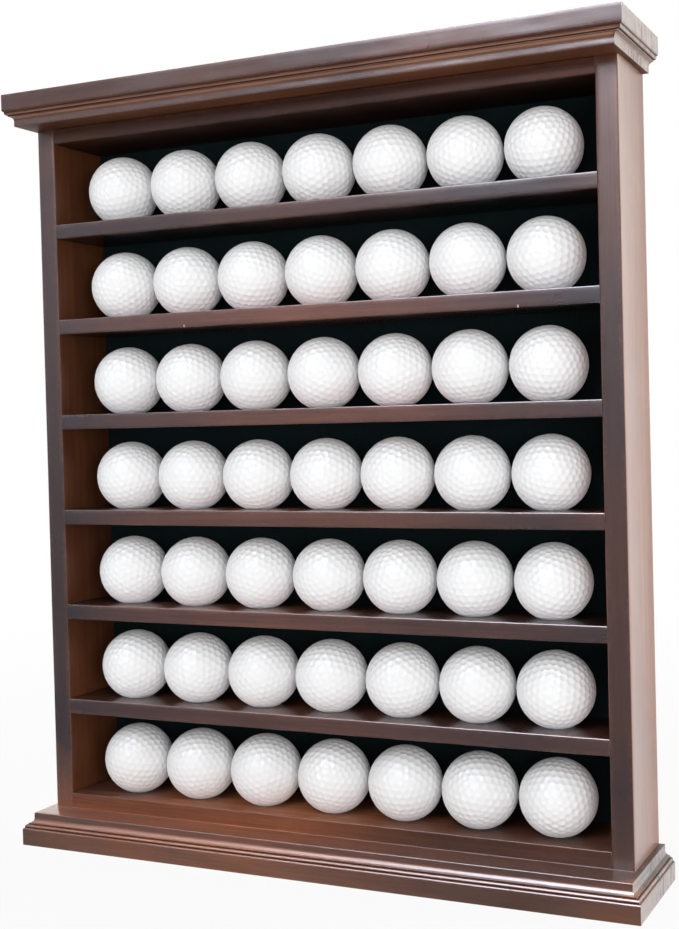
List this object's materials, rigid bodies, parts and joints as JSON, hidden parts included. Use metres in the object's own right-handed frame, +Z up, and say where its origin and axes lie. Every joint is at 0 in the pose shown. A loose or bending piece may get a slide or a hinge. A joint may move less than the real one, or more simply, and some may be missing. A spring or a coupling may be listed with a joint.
{
  "type": "golf ball display case",
  "caption": "Open-front wooden display case with shelves of seated golf balls between a routed cap board and base board, felt-lined back and keyhole hangers.",
  "frame": {"origin": "middle of the base board's underside, which is the bottom centre of the overall box", "axes": "+Z up, front of the case towards -Y, +X to the right seen from the front"},
  "size_m": [0.381, 0.0764, 0.4565],
  "materials": {
    "stained_wood": "walnut stain under satin lacquer",
    "plywood": "raw plywood",
    "dowel_wood": "raw beech",
    "felt": "black felt with a teal cast",
    "zinc_steel": "zinc plated",
    "golf_ball": "glossy white cover with dimples"
  },
  "bodies": {
    "carcass": {"cap_board": "stained_wood", "base_board": "stained_wood", "side_panel_left": "stained_wood", "side_panel_right": "stained_wood", "top_panel": "stained_wood", "bottom_panel": "stained_wood", "shelf_1": "stained_wood", "shelf_2": "stained_wood", "shelf_3": "stained_wood", "shelf_4": "stained_wood", "shelf_5": "stained_wood", "shelf_6": "stained_wood", "back_panel": "plywood", "felt_lining": "felt", "cap_dowels": "dowel_wood", "base_screws": "zinc_steel", "back_nails": "zinc_steel", "hanger_plate_left": "zinc_steel", "hanger_plate_right": "zinc_steel", "hanger_screws": "zinc_steel"},
    "ball_tier_1": {"ball_tier_1": "golf_ball"},
    "ball_tier_2": {"ball_tier_2": "golf_ball"},
    "ball_tier_3": {"ball_tier_3": "golf_ball"},
    "ball_tier_4": {"ball_tier_4": "golf_ball"},
    "ball_tier_5": {"ball_tier_5": "golf_ball"},
    "ball_tier_6": {"ball_tier_6": "golf_ball"},
    "ball_tier_7": {"ball_tier_7": "golf_ball"}
  },
  "joints": [
    {"name": "ball_tier_1_lift_out", "type": "slide", "parent": "carcass", "child": "ball_tier_1", "axis": [0, -0.9563, 0.2924], "range_m": [0, 0.075]},
    {"name": "ball_tier_2_lift_out", "type": "slide", "parent": "carcass", "child": "ball_tier_2", "axis": [0, -0.9563, 0.2924], "range_m": [0, 0.075]},
    {"name": "ball_tier_3_lift_out", "type": "slide", "parent": "carcass", "child": "ball_tier_3", "axis": [0, -0.9563, 0.2924], "range_m": [0, 0.075]},
    {"name": "ball_tier_4_lift_out", "type": "slide", "parent": "carcass", "child": "ball_tier_4", "axis": [0, -0.9563, 0.2924], "range_m": [0, 0.075]},
    {"name": "ball_tier_5_lift_out", "type": "slide", "parent": "carcass", "child": "ball_tier_5", "axis": [0, -0.9563, 0.2924], "range_m": [0, 0.075]},
    {"name": "ball_tier_6_lift_out", "type": "slide", "parent": "carcass", "child": "ball_tier_6", "axis": [0, -0.9563, 0.2924], "range_m": [0, 0.075]},
    {"name": "ball_tier_7_lift_out", "type": "slide", "parent": "carcass", "child": "ball_tier_7", "axis": [0, -0.9563, 0.2924], "range_m": [0, 0.075]}
  ]
}
